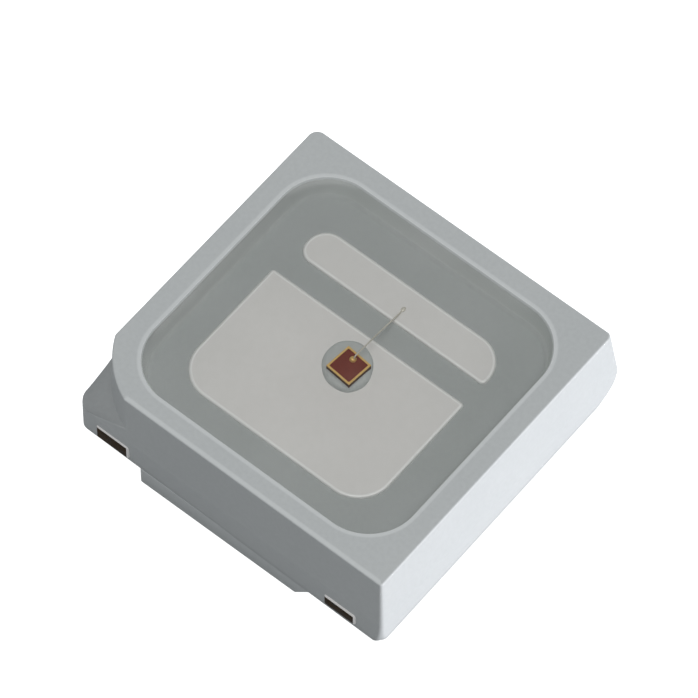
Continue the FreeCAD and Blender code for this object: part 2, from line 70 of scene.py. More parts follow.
# painted shade along the flange's foot; painted light on the lower half and, growing upward, on the block
FOOT_SHADE, LOWER_HALF_LIGHT, BLOCK_LIGHT = -0.24, 0.045, 0.18
MOUTH_LENGTH, MOUTH_WIDTH = 2.17, 2.055  # half the cavity's mouth
CAVITY_DRAFT, CAVITY_CORNER, COVE = 0.08, 0.74, 0.05
FILL_TOP, FILL_GAP = 1.75, 0.004
FILL_CREEP = ((0.0, 0.014), (0.012, 0.0085), (0.028, 0.0045), (0.05, 0.002), (0.08, 0.0005), (0.11, 0.0))

# block under the flange
BLOCK_FOOT, BLOCK_WEST, BLOCK_EAST = 0.02, -1.51, 1.06
BLOCK_HALF_WIDTH, BLOCK_CORNER, BLOCK_ROUND, BLOCK_LEAN = 2.445, 0.03, 0.02, 0.018
BLOCK_SUNK, BLOCK_SHORT = 0.06, 0.1  # how far the block goes into the flange, and how much shorter it gets
SLOPE, HEEL, ROOT, ROOT_END, RISE = math.radians(50.0), 0.12, 0.28, math.radians(0.04), 0.2704

# leads
SHEET, PAD_TOP = 0.20, 1.48
LARGE_PAD = (-1.68, 1.55, -1.55, 0.51, (0.52, 0.52, 0.05, 0.05))
BAR_PAD = (-1.60, 1.56, 0.88, 1.445, (0.22, 0.08, 0.45, 0.30))
PAD_EDGE = 0.03
PAD_RIM = ((0.012, 0.0, 1), (0.022, 0.001, 0), (0.03, 0.001, 0))  # inset past the edge, drop, painted highlight
LARGE_LEG, BAR_LEG = (-1.52, -0.30), (1.415, 0.40)  # each the leg's outer face and its land's inner end
LEG_WEST, LEG_EAST, LEG_HEEL, LEG_CROOK = -1.30, 0.90, 0.12, 0.03
TIES = ((-2.225, -1.675, 0.445, 0.715), (1.63, 2.15, 0.420, 0.630))  # west, east, foot and top of each end
TIE_LOW, TIE_HIGH, TIE_END, TIE_LIP = 0.445, 0.645, 2.472, 0.035
TIE_FACE = 2.4  # what stands farther out belongs to a sheared end

# chip and its bonds
CHIP_AT, CHIP_TURN, CHIP_HALF = (0.07, -0.06), math.radians(-5.4), 0.208
CHIP_LOW, CHIP_TOP, CHIP_EDGE, CHIP_CORNER = 1.495, 1.615, 0.005, 0.006
METAL, METAL_EDGE, BORDER = 0.01, 0.003, 0.029
BOND_AT, CONTACT_RADIUS = (0.055, 0.045), 0.046
BALL_RADIUS, BALL_HEIGHT = 0.038, 0.022
WIRE_RADIUS, WIRE_TURN, WIRE_REACH, WIRE_SIDE = 0.0105, math.radians(2.0), 1.12, 0.02
WIRE_NECK, WIRE_BEND, WIRE_DROP, WIRE_SAG, WIRE_SIDES = 0.012, 0.04, 0.171, 0.010, 20
STITCH_BACK, STITCH_RADIUS = 0.06, 0.034
STITCH_LEVELS = ((1.0, -0.003), (1.0, 0.004), (0.92, 0.008), (0.7, 0.012), (0.4, 0.014))  # share and rise
GLUE_AT, GLUE_TURN, GLUE_HALF, GLUE_RISE = (0.02, -0.02), math.radians(-51.0), (0.385, 0.337), 0.070
GLUE_LEVELS = ((1.0, 0.0), (0.985, 0.022), (0.955, 0.040), (0.91, 0.054), (0.86, 0.063), (0.80, 0.068))


# Meshes

def outline(west, east, front, back, radii):
    """Points of a rectangle with rounded corners, counter-clockwise from the front-west corner.

    A guard point stands on each straight edge beside each arc's end, so that shading turns there only.
    """
    points = []
    corners = ((west, front, 1, 1), (east, front, -1, 1), (east, back, -1, -1), (west, back, 1, -1))
    for number, ((x, y, inward_x, inward_y), radius) in enumerate(zip(corners, radii)):
        centre = x + inward_x * radius, y + inward_y * radius
        start = math.pi * (1 + number / 2)
        points += guarded_arc(centre, radius, start, start + math.pi / 2, (start, start + math.pi / 2))
    return points


def guarded_arc(centre, radius, start, end, edges):
    """An arc with its two guard points. Edges are the directions that the two straight edges face."""
    angles = [start + (end - start) * step / ARC_STEPS for step in range(ARC_STEPS + 1)]
    arc = [(centre[0] + radius * math.cos(a), centre[1] + radius * math.sin(a)) for a in angles]
    first, last = (math.cos(edges[0]), math.sin(edges[0])), (math.cos(edges[1]), math.sin(edges[1]))
    before = arc[0][0] + GUARD * first[1], arc[0][1] - GUARD * first[0]
    after = arc[-1][0] - GUARD * last[1], arc[-1][1] + GUARD * last[0]
    return [before] + arc + [after]


def centred(half_length, half_width, radii):
    return outline(-half_length, half_length, -half_width, half_width, radii)


def inset(shape, depth):
    """The same outline moved in by a depth."""
    west, east, front, back, radii = shape
    radii = [max(r - depth, LEAST_RADIUS) for r in radii]
    return outline(west + depth, east - depth, front + depth, back - depth, radii)


def turned(points, angle, at):
    cos, sin = math.cos(angle), math.sin(angle)
    return [(at[0] + x * cos - y * sin, at[1] + x * sin + y * cos) for x, y in points]


def circle(radius, at):
    angles = [2 * math.pi * step / CIRCLE_STEPS for step in range(CIRCLE_STEPS)]
    return [(at[0] + radius * math.cos(a), at[1] + radius * math.sin(a)) for a in angles]


def quarter(steps):
    """Angles of a quarter turn, for a rounded edge."""
    return [math.pi / 2 * step / steps for step in range(steps + 1)]


def add_stack(bm, levels, slot=0, ring=False):
    """Skins a stack of outlines with equal counts of points. Each level is (points, height, rim).

    Height and rim are one number or one for each point. Rim, painted light above nought and painted shade
    below it, goes into the vertices' own attribute, where a material reads it. A ring closes on itself and
    has no caps.
    """
    rim_layer = bm.verts.layers.float.get("rim") or bm.verts.layers.float.new("rim")
    loops = []
    for points, height, rim in levels:
        rims = rim if isinstance(rim, list) else [rim] * len(points)
        heights = height if isinstance(height, list) else [height] * len(points)
        loop = [bm.verts.new((x * MM, y * MM, z * MM)) for (x, y), z in zip(points, heights)]
        for vert, amount in zip(loop, rims):
            vert[rim_layer] = amount
        loops.append(loop)
    count = len(loops[0])
    pairs = list(zip(loops, loops[1:])) + ([(loops[-1], loops[0])] if ring else [])
    faces = [
        bm.faces.new((low[i], low[(i + 1) % count], high[(i + 1) % count], high[i]))
        for low, high in pairs
        for i in range(count)
    ]
    if not ring:
        faces += [bm.faces.new(list(reversed(loops[0]))), bm.faces.new(loops[-1])]
    for face in faces:
        face.material_index = slot
    return faces


def add_slab(bm, shape, low, high, edge):
    """A flat slab of an outline with its upper and lower edges rounded."""
    levels = []
    for angle in quarter(3):
        levels.append((inset(shape, edge * (1 - math.sin(angle))), low + edge * (1 - math.cos(angle)), 0))
    for angle in quarter(3):
        levels.append((inset(shape, edge * (1 - math.cos(angle))), high - edge * (1 - math.sin(angle)), 0))
    return add_stack(bm, levels)


def make_piece(name, bm, materials, nodes):
    """Turns a bmesh into a piece that stands for its CAD nodes."""
    bmesh.ops.remove_doubles(bm, verts=bm.verts, dist=1e-8)
    mesh = bpy.data.meshes.new(name)
    bm.to_mesh(mesh)
    bm.free()
    return dress_piece(name, mesh, materials, nodes)


def dress_piece(name, mesh, materials, nodes):
    """Turns a mesh into a shaded piece that stands for its CAD nodes."""
    for material in materials:
        mesh.materials.append(material)
    mesh.polygons.foreach_set("use_smooth", [True] * len(mesh.polygons))
    mesh.set_sharp_from_angle(angle=SHARP)
    piece = bpy.data.objects.new(name, mesh)
    bpy.context.scene.collection.objects.link(piece)
    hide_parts(*nodes)
    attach(piece, "root")
    return piece


# Housing

def plain_side(height, depth=0.0):
    """Outline of the upper half at a height, moved in by a depth where its edge is rounded."""
    share = (TOP - height) / (TOP - PARTING)
    radii = [a + (b - a) * share for a, b in zip(TOP_CORNERS, PARTING_CORNERS)]
    out = UPPER_DRAFT * share - depth
    east, back = HALF_LENGTH + out, HALF_WIDTH + out + BACK_SET * (1 - share)
    return outline(-east, east, -HALF_WIDTH - out, back, [max(r - depth, LEAST_CORNER) for r in radii])


def mark_arc(height, depth=0.0):
    """The marked corner's arc, which keeps the lip's width round the cavity's corner."""
    share = (TOP - height) / (TOP - PARTING)
    out, radius = UPPER_DRAFT * share - depth, MARK_RADIUS + MARK_DRAFT * share - depth
    start = math.pi + math.acos((HALF_LENGTH + out + MARK_CENTRE[0]) / radius)
    end = 1.5 * math.pi - math.acos((HALF_WIDTH + out + MARK_CENTRE[1]) / radius)
    return guarded_arc(MARK_CENTRE, radius, start, end, (math.pi, 1.5 * math.pi))


def upper_side(height, depth=0.0):
    """The upper half with its marked corner, and the slope that runs out to the full corner."""
    points = plain_side(height, depth)
    if height <= SLOPE_FOOT:
        return points
    low = plain_side(SLOPE_FOOT)[:CORNER_POINTS]
    share = min((height - SLOPE_FOOT) / (SLOPE_TOP - SLOPE_FOOT), 1.0) ** SLOPE_HOLLOW
    high = mark_arc(max(height, SLOPE_TOP), depth)
    arc = [(a + (c - a) * share, b + (d - b) * share) for (a, b), (c, d) in zip(low, high)]
    return arc + points[CORNER_POINTS:]


def lower_side(height, depth=0.0):
    """Outline of the lower half, whose corners draw in quickest near the foot."""
    share = (PARTING - height) / (PARTING - FLANGE_FOOT)
    radii = [a + (b - a) * share ** lean for a, b, lean in zip(PARTING_CORNERS, FOOT_CORNERS, FOOT_LEANS)]
    out = UPPER_DRAFT - LOWER_DRAFT * share - depth
    return centred(HALF_LENGTH + out, HALF_WIDTH + out, [max(r - depth, LEAST_CORNER) for r in radii])


def hung(height):
    """Heights along the lower half's outline, lower on both sides of the front-east corner."""
    heights = [height] * (4 * CORNER_POINTS)
    share = (PARTING - height) / (PARTING - FLANGE_FOOT)
    for step in range(CORNER_POINTS):
        beside = 1 - 2 * step / (CORNER_POINTS - 1)
        heights[CORNER_POINTS + step] -= FOOT_DROPS[beside < 0] * share * abs(beside)
    return heights


def cavity_side(height, out=0.0):
    """Outline of the cavity's wall at a height, moved out by an amount."""
    lean = CAVITY_DRAFT * (TOP - height) / (TOP - FLOOR)
    return centred(MOUTH_LENGTH - lean + out, MOUTH_WIDTH - lean + out, [CAVITY_CORNER - lean + out] * 4)


def front_highlight(amount):
    """Painted highlight on the front edge's rim only, from the marked corner's arc to the next corner."""
    rims = [0.0] * (4 * CORNER_POINTS)
    rims[CORNER_POINTS - 2:CORNER_POINTS] = [amount] * 2
    for step in range(CORNER_POINTS):
        rims[CORNER_POINTS + step] = amount * (1 - step / (CORNER_POINTS - 1))
    return rims


def slope_painted_shade(height, part=1.0):
    """Painted shade on the slope under the marked corner, darkest at its foot."""
    foot, top = SLOPE_SHADE
    amount = part * (foot + (top - foot) * (height - SLOPE_FOOT) / (SLOPE_TOP - SLOPE_FOOT))
    rims = [0.0] * (4 * CORNER_POINTS)
    rims[2:CORNER_POINTS - 2] = [amount] * (CORNER_POINTS - 4)
    return rims


def lower_levels():
    """From the flange's underside, over its rounded foot, up to the parting line."""
    # painted shade on the rounded foot, painted light on the lower half above it
    levels = [(lower_side(FLANGE_FOOT, 3 * FOOT_ROUND), hung(FLANGE_FOOT), FOOT_SHADE)]
    for angle in quarter(3):
        height = FLANGE_FOOT + FOOT_ROUND * (1 - math.cos(angle))
        levels.append((lower_side(height, FOOT_ROUND * (1 - math.sin(angle))), hung(height), FOOT_SHADE))
    height = FLANGE_FOOT + 2 * FOOT_ROUND
    levels.append((lower_side(height), hung(height), FOOT_SHADE))
    for rise in LOWER_RISES:
        levels.append((lower_side(FLANGE_FOOT + rise), hung(FLANGE_FOOT + rise), LOWER_HALF_LIGHT))
    levels.append((lower_side(PARTING - CRISP), PARTING - CRISP, LOWER_HALF_LIGHT))
    return levels


def upper_levels():
    """From the parting line, past the slope under the marked corner, up to the top's rounded edge."""
    levels = [(upper_side(height), height, 0) for height in (PARTING + CRISP, SLOPE_FOOT - CRISP)]
    # the slope under the marked corner carries painted shade
    for step in SLOPE_STEPS:
        height = SLOPE_FOOT + step * CRISP
        levels.append((upper_side(height), height, slope_painted_shade(height)))
    levels.append((upper_side(SLOPE_TOP), SLOPE_TOP, slope_painted_shade(SLOPE_TOP, 0.5)))
    for height in (SLOPE_TOP + CRISP, TOP - EDGE_ROUND - 2 * CRISP):
        levels.append((upper_side(height), height, 0))
    return levels


def top_levels():
    """Over the top's edge, across the top face with the painted highlight on its rims, and over the mouth's
    edge.
    """
    levels = []
    # painted highlight along the front edge and round the mouth
    for angle in quarter(5):
        height = TOP - EDGE_ROUND * (1 - math.sin(angle))
        depth = EDGE_ROUND * (1 - math.cos(angle))
        levels.append((upper_side(height, depth), height, front_highlight(RIM_HIGHLIGHT * math.sin(angle))))
    for share, rim in RIM_FADE:
        levels.append((upper_side(TOP, EDGE_ROUND + RIM_WIDTH * share), TOP, front_highlight(RIM_HIGHLIGHT * rim)))
    for share, rim in reversed(RIM_FADE):
        levels.append((cavity_side(TOP, MOUTH_ROUND + RIM_WIDTH * share), TOP, RIM_HIGHLIGHT * rim))
    for angle in quarter(4):
        height = TOP - MOUTH_ROUND * (1 - math.cos(angle))
        painted_light = RIM_HIGHLIGHT + (WALL_STRIP_LIGHT - RIM_HIGHLIGHT) * math.sin(angle)
        levels.append((cavity_side(height, MOUTH_ROUND * (1 - math.sin(angle))), height, painted_light))
    return levels


def painted_wall_light(west, others):
    """Painted light round the cavity: one amount on the west wall, another on the others."""
    painted_light = []
    for corner in range(4):
        for step in range(-1, ARC_STEPS + 2):
            angle = math.pi * (1 + (corner + min(max(step / ARC_STEPS, 0), 1)) / 2)
            facing = max(-math.cos(angle), 0.0) ** 4
            painted_light.append(others + (west - others) * facing)
    return painted_light


def cavity_levels():
    """Down the wall, whose painted light is stronger than the floor's, and round the cove at its foot."""
    strip_foot, cove_top = FILL_TOP + 2 * WALL_CRISP, FLOOR + COVE + WALL_CRISP
    walls = painted_wall_light(*WALL_FOOT)
    levels = [
        (cavity_side(strip_foot), strip_foot, WALL_STRIP_LIGHT),
        (cavity_side(FILL_TOP), FILL_TOP, painted_wall_light(*WALL_TOP)),
        (cavity_side(cove_top), cove_top, walls),
    ]
    for angle in quarter(4):
        height = FLOOR + COVE * (1 - math.sin(angle))
        painted_light = [CAVITY_FLOOR_LIGHT + (wall - CAVITY_FLOOR_LIGHT) * (1 - math.sin(angle)) for wall in walls]
        levels.append((cavity_side(height, -COVE * (1 - math.cos(angle))), height, painted_light))
    levels.append((cavity_side(FLOOR, -COVE - WALL_CRISP), FLOOR, CAVITY_FLOOR_LIGHT))
    return levels


def block_profile():
    """East edge of the block and its height, up the sloping end."""
    points = []
    for step in range(9):
        angle = SLOPE * step / 8
        points.append((BLOCK_EAST + HEEL * math.sin(angle), BLOCK_FOOT + HEEL * (1 - math.cos(angle))))
    x, z = points[-1]
    x, z = x + RISE * math.cos(SLOPE), z + RISE * math.sin(SLOPE)
    for step in range(9):
        angle = SLOPE + (ROOT_END - SLOPE) * step / 8
        across = ROOT * (math.sin(SLOPE) - math.sin(angle))
        points.append((x + across, z + ROOT * (math.cos(angle) - math.cos(SLOPE))))
    return points


def add_block(bm):
    """Block under the flange. Its front leans back a little toward the sloping end."""
    profile = block_profile()
    root = profile[-1][0]

    def section(east, depth=0.0):
        half = BLOCK_HALF_WIDTH - depth
        points = outline(BLOCK_WEST + depth, east, -half, half, [BLOCK_CORNER] * 4)
        span = root - BLOCK_WEST
        return [(x, y + (BLOCK_LEAN * (x - BLOCK_WEST) / span if y < 0 else 0)) for x, y in points]

    levels = [(section(profile[0][0] - BLOCK_ROUND, BLOCK_ROUND), BLOCK_FOOT, 0)]
    for angle in quarter(3)[1:]:
        height = BLOCK_FOOT + BLOCK_ROUND * (1 - math.cos(angle))
        east = next(x for x, z in profile if z >= height - 1e-6)
        levels.append((section(east, BLOCK_ROUND * (1 - math.sin(angle))), height, 0))
    # painted light on the block's sides, growing upward to the flange
    for x, z in profile:
        if BLOCK_FOOT + BLOCK_ROUND < z < FLANGE_FOOT - 0.01:
            levels.append((section(x), z, BLOCK_LIGHT * (z - BLOCK_FOOT) / (FLANGE_FOOT - BLOCK_FOOT)))
    levels += [
        (section(root - 0.03), FLANGE_FOOT - CRISP, BLOCK_LIGHT),
        (section(root, CRISP), FLANGE_FOOT, BLOCK_LIGHT),
        (section(root - BLOCK_SHORT, BLOCK_SUNK), FLANGE_FOOT + 0.001, 0),
        (section(root - BLOCK_SHORT, BLOCK_SUNK), FLANGE_FOOT + BLOCK_SUNK, 0),
    ]
    add_stack(bm, levels)


def make_housing(plastic):
    bm = bmesh.new()
    add_stack(bm, lower_levels() + upper_levels() + top_levels() + cavity_levels())
    add_block(bm)
    return make_piece("moulded_housing", bm, [plastic], ["housing"])


# Leads

def add_pad(bm, shape):
    """Pad plate with its coined edge, which carries a painted highlight brighter than the rest."""
    levels = [(inset(shape, 0), height, 0) for height in (PAD_TOP - SHEET, PAD_TOP - PAD_EDGE - 0.01)]
    for step, angle in enumerate(quarter(4)):
        depth, drop = PAD_EDGE * (1 - math.cos(angle)), PAD_EDGE * (1 - math.sin(angle))
        levels.append((inset(shape, depth), PAD_TOP - drop, 0.6 + 0.4 * step / 4))
    for depth, drop, rim in PAD_RIM:
        levels.append((inset(shape, PAD_EDGE + depth), PAD_TOP - drop, rim))
    add_stack(bm, levels)


def add_leg(bm, outer, land_end, side):
    """Leg and land as one bent strip, seen from its edge and drawn out along X."""
    inner = outer - side * SHEET
    profile = [(inner, PAD_TOP - SHEET / 2), (outer, PAD_TOP - SHEET / 2)]
    for angle in quarter(8):
        profile.append((outer - side * LEG_HEEL * (1 - math.cos(angle)), LEG_HEEL * (1 - math.sin(angle))))
    profile += [(land_end, 0.0), (land_end, SHEET)]
    for angle in quarter(4):
        y = inner - side * LEG_CROOK * (1 - math.sin(angle))
        profile.append((y, SHEET + LEG_CROOK * (1 - math.cos(angle))))
    ends = []
    for x in (LEG_WEST, LEG_EAST):
        ends.append([bm.verts.new((x * MM, y * MM, z * MM)) for y, z in profile])
    count = len(profile)
    faces = [
        bm.faces.new((ends[0][i], ends[0][(i + 1) % count], ends[1][(i + 1) % count], ends[1][i]))
        for i in range(count)
    ]
    faces += [bm.faces.new(ends[0]), bm.faces.new(list(reversed(ends[1])))]
    bmesh.ops.recalc_face_normals(bm, faces=faces)
    return faces


def add_ties(bm, outer, side):
    """Crossbar and the two tie bars that stand out of the housing with sheared ends."""
    inner = outer - side * SHEET
    front, back = sorted((inner, outer))
    add_slab(bm, (TIES[0][0], TIES[1][1], front, back, [0.01] * 4), TIE_LOW, TIE_HIGH, 0.008)
    for west, east, foot, top in TIES:
        front, back = sorted((inner, side * TIE_END))
        shape = (west, east, front, back, [0.03] * 4)
        faces = add_slab(bm, shape, foot, top + TIE_LIP, TIE_LIP)
        for face in faces:
            face.normal_update()
            middle = face.calc_center_median() / MM
            sheared = face.normal.y * side > 0.7 and abs(middle.y) > TIE_FACE and middle.z < top
            if sheared and middle.x < east - TIE_LIP:
                face.material_index = 1


def make_lead(name, shape, leg, side, silver, shear, node):
    """Pad, leg and tie bars in one piece. Side is minus one at the front and one at the back."""
    outer, land_end = leg
    bm = bmesh.new()
    add_pad(bm, shape)
    add_leg(bm, outer, land_end, side)
    add_ties(bm, outer, side)
    return make_piece(name, bm, [silver, shear], [node])


# Chip, adhesive and wire

def chip_square(half, corner=CHIP_CORNER):
    return turned(centred(half, half, [corner] * 4), CHIP_TURN, CHIP_AT)


def add_chip(bm):
    levels = [
        (chip_square(CHIP_HALF - CHIP_EDGE), CHIP_LOW, 0),
        (chip_square(CHIP_HALF), CHIP_LOW + CHIP_EDGE, 0),
        (chip_square(CHIP_HALF), CHIP_TOP - CHIP_EDGE, 0),
        (chip_square(CHIP_HALF - CHIP_EDGE / 3), CHIP_TOP - CHIP_EDGE / 3, 0),
        (chip_square(CHIP_HALF - CHIP_EDGE, 0.004), CHIP_TOP, 0),
    ]
    faces = add_stack(bm, levels)
    faces[-1].material_index = 1


def add_border(bm):
    """Contact metal round the chip's top face, wider at its inner corners."""
    inner, top = CHIP_HALF - BORDER, CHIP_TOP + METAL
    levels = [
        (chip_square(CHIP_HALF - 0.001), CHIP_TOP - METAL_EDGE, 0),
        (chip_square(CHIP_HALF - 0.001), top - METAL_EDGE, 0),
        (chip_square(CHIP_HALF - METAL_EDGE, 0.005), top, 0),
        (chip_square(inner + METAL_EDGE, 0.022), top, 0),
        (chip_square(inner, 0.019), top - METAL_EDGE, 0),
        (chip_square(inner, 0.019), CHIP_TOP - METAL_EDGE, 0),
    ]
    add_stack(bm, levels, ring=True)


def add_contact(bm):
    """Round contact, which the wire's flattened ball sits on."""
    top = CHIP_TOP + METAL
    levels = [
        (circle(CONTACT_RADIUS, BOND_AT), CHIP_TOP - METAL_EDGE, 0),
        (circle(CONTACT_RADIUS, BOND_AT), top - METAL_EDGE, 0),
        (circle(CONTACT_RADIUS - METAL_EDGE, BOND_AT), top, 0),
        (circle(BALL_RADIUS * 0.8, BOND_AT), top, 0),
    ]
    add_stack(bm, levels)


def make_adhesive(material):
    """Oval of adhesive pressed out round the chip, with an uneven edge."""
    def oval(share):
        points = []
        for step in range(OVAL_STEPS):
            angle = 2 * math.pi * step / OVAL_STEPS
            waver = 1 + 0.012 * math.sin(3 * angle + 0.7) + 0.008 * math.sin(7 * angle + 2.1)
            reach = share * waver
            points.append((GLUE_HALF[0] * reach * math.cos(angle), GLUE_HALF[1] * reach * math.sin(angle)))
        return turned(points, GLUE_TURN, GLUE_AT)

    bm = bmesh.new()
    levels = [(oval(0.99), PAD_TOP - 0.004, 0)]
    for share, rise in GLUE_LEVELS:
        levels.append((oval(share), PAD_TOP + rise, 0))
    levels.append((oval(0.5), PAD_TOP + GLUE_RISE, 0))
    add_stack(bm, levels)
    return make_piece("chip_adhesive", bm, [material], ["die_attach"])


def wire_route():
    """Points of the loop: up from the ball, over its bend and down to the bar pad."""
    foot = BALL_HEIGHT / 2
    high = BALL_HEIGHT + WIRE_NECK
    fall = math.atan2(high + WIRE_BEND + WIRE_DROP, WIRE_REACH - WIRE_BEND)
    points = [(0, foot), (0, (foot + high) / 2)]
    for step in range(13):
        angle = (math.pi / 2 + fall) * step / 12
        points.append((WIRE_BEND * (1 - math.cos(angle)), high + WIRE_BEND * math.sin(angle)))
    start_y, start_z = points[-1]
    for step in range(1, 13):
        share = step / 12
        sag = WIRE_SAG * math.sin(math.pi * share)
        height = start_z + (-WIRE_DROP - start_z) * share + sag
        points.append((start_y + (WIRE_REACH - start_y) * share, height))
    base = CHIP_TOP + METAL
    sin, cos = math.sin(WIRE_TURN), math.cos(WIRE_TURN)
    return [(BOND_AT[0] + WIRE_SIDE - y * sin, BOND_AT[1] + y * cos, base + z) for y, z in points]


def wire_tree(material):
    """Node tree that draws a round wire along a line of edges."""
    tree = bpy.data.node_groups.new("drawn wire", "GeometryNodeTree")
    new_socket = tree.interface.new_socket
    new_socket("Geometry", in_out="INPUT", socket_type="NodeSocketGeometry")
    radius = new_socket("Wire radius", in_out="INPUT", socket_type="NodeSocketFloat")
    sides = new_socket("Sides", in_out="INPUT", socket_type="NodeSocketInt")
    new_socket("Geometry", in_out="OUTPUT", socket_type="NodeSocketGeometry")
    start, end = tree.nodes.new("NodeGroupInput"), tree.nodes.new("NodeGroupOutput")
    line = tree.nodes.new("GeometryNodeMeshToCurve")
    round_section = tree.nodes.new("GeometryNodeCurvePrimitiveCircle")
    skin = tree.nodes.new("GeometryNodeCurveToMesh")
    skin.inputs["Fill Caps"].default_value = True
    paint = tree.nodes.new("GeometryNodeSetMaterial")
    paint.inputs["Material"].default_value = material
    for source, target in (
        (start.outputs["Geometry"], line.inputs["Mesh"]),
        (start.outputs["Wire radius"], round_section.inputs["Radius"]),
        (start.outputs["Sides"], round_section.inputs["Resolution"]),
        (line.outputs["Curve"], skin.inputs["Curve"]),
        (round_section.outputs["Curve"], skin.inputs["Profile Curve"]),
        (skin.outputs["Mesh"], paint.inputs["Geometry"]),
        (paint.outputs["Geometry"], end.inputs["Geometry"]),
    ):
        tree.links.new(source, target)
    return tree, radius.identifier, sides.identifier


def drawn_wire(material):
    """Mesh of the wire loop, made along its route."""
    route = wire_route()
    mesh = bpy.data.meshes.new("wire route")
    edges = [(i, i + 1) for i in range(len(route) - 1)]
    mesh.from_pydata([[c * MM for c in point] for point in route], edges, [])
    holder = bpy.data.objects.new("wire route", mesh)
    bpy.context.scene.collection.objects.link(holder)
    tree, radius, sides = wire_tree(material)
    modifier = holder.modifiers.new("drawn wire", "NODES")
    modifier.node_group = tree
    modifier[radius] = WIRE_RADIUS * MM
    modifier[sides] = WIRE_SIDES
    graph = bpy.context.evaluated_depsgraph_get()
    made = bpy.data.meshes.new_from_object(holder.evaluated_get(graph))
    bpy.data.objects.remove(holder)
    return made


def make_wire(wire_gold, ball_gold):
    """Wire with the ball it starts from and the flattened stitch it ends in."""
    bm = bmesh.new()
    bm.from_mesh(drawn_wire(wire_gold))
    for face in bm.faces:
        face.material_index = 0
    foot = CHIP_TOP + METAL
    levels = []
    for step in range(9):
        angle = math.pi * step / 8
        reach = BALL_RADIUS * (0.72 + 0.28 * math.sin(angle))
        levels.append((circle(reach, BOND_AT), foot + BALL_HEIGHT * (1 - math.cos(angle)) / 2, 0))
    levels.append((circle(WIRE_RADIUS * 1.25, BOND_AT), foot + BALL_HEIGHT + 0.003, 0))
    add_stack(bm, levels, slot=1)
    reach = WIRE_REACH - STITCH_BACK
    middle = (BOND_AT[0] + WIRE_SIDE - reach * math.sin(WIRE_TURN), BOND_AT[1] + reach * math.cos(WIRE_TURN))
    levels = []
    for share, rise in STITCH_LEVELS:
        points = [(x * 0.85, y * 1.25) for x, y in circle(STITCH_RADIUS * share, (0, 0))]
        levels.append((turned(points, WIRE_TURN, middle), PAD_TOP + rise, 0))
    add_stack(bm, levels)
    return make_piece("ball_and_wire", bm, [wire_gold, ball_gold], ["bond_wire"])


# Clear filling

def make_filling(clear, inside):
    """The filling's upper face creeps a little up the wall; its other faces lie on the walls."""
    def side(height, depth=0.0):
        return cavity_side(height, -FILL_GAP - depth)

    bm = bmesh.new()
    levels = [(side(FLOOR, COVE), FLOOR + FILL_GAP, 0), (side(FLOOR + COVE), FLOOR + COVE, 0)]
    for depth, rise in FILL_CREEP:
        levels.append((side(FILL_TOP, depth), FILL_TOP + rise, 0))
    faces = add_stack(bm, levels, slot=1)
    for face in faces:
        face.normal_update()
        if face.normal.z > 0.5:
            face.material_index = 0
    return make_piece("clear_filling", bm, [clear, inside], ["encapsulant"])


# Materials

def new_material(name):
    material = bpy.data.materials.new(name)
    material.use_nodes = True
    material.node_tree.nodes.clear()
    return material, material.node_tree


def add_node(tree, kind, inputs=(), **settings):
    """A node with its settings, and inputs as (socket, number or another node's socket)."""
    node = tree.nodes.new(kind)
    for name, setting in settings.items():
        setattr(node, name, setting)
    for socket, given in inputs:
        if isinstance(given, bpy.types.NodeSocket):
            tree.links.new(given, node.inputs[socket])
        else:
            node.inputs[socket].default_value = given
    return node


def object_place(tree):
    return add_node(tree, "ShaderNodeTexCoord").outputs["Object"]


def noise(tree, place, size, detail=3.0):
    """Noise with spots of about a size in millimetres."""
    inputs = [("Vector", place), ("Scale", 1 / (size * MM)), ("Detail", detail)]
    return add_node(tree, "ShaderNodeTexNoise", inputs).outputs["Fac"]


def colours(tree, factor, stops):
    """Colours along a factor, from stops of a position and a colour."""
    ramp = add_node(tree, "ShaderNodeValToRGB", [("Fac", factor)])
    elements = ramp.color_ramp.elements
    while len(elements) < len(stops):
        elements.new(0.5)
    for element, (position, colour) in zip(elements, stops):
        element.position = position
        element.color = (*colour, 1)
    return ramp.outputs["Color"]


def between(tree, factor, low, high):
    """A noise's middle range, brought to between two numbers."""
    inputs = [("Value", factor), ("From Min", 0.3), ("From Max", 0.7), ("To Min", low), ("To Max", high)]
    return add_node(tree, "ShaderNodeMapRange", inputs).outputs["Result"]


def blend(tree, factor, first, second, kind="MIX"):
    node = add_node(tree, "ShaderNodeMix", data_type="RGBA", blend_type=kind)
    for number, given in ((0, factor), (6, first), (7, second)):
        if isinstance(given, bpy.types.NodeSocket):
            tree.links.new(given, node.inputs[number])
        else:
            node.inputs[number].default_value = given
    return node.outputs[2]


def bump(tree, height, strength, depth):
    """Bump whose full height is a depth in millimetres."""
    inputs = [("Height", height), ("Strength", strength), ("Distance", depth * MM)]
    return add_node(tree, "ShaderNodeBump", inputs).outputs["Normal"]


def close_material(tree, shader):
    output = add_node(tree, "ShaderNodeOutputMaterial")
    tree.links.new(shader, output.inputs["Surface"])


def limits(tree, amount, low, high):
    """An amount between two limits, brought to nought to one."""
    inputs = [("Value", amount), ("From Min", low), ("From Max", high)]
    return add_node(tree, "ShaderNodeMapRange", inputs).outputs["Result"]


def rim_of(tree):
    return add_node(tree, "ShaderNodeAttribute", attribute_name="rim").outputs["Fac"]


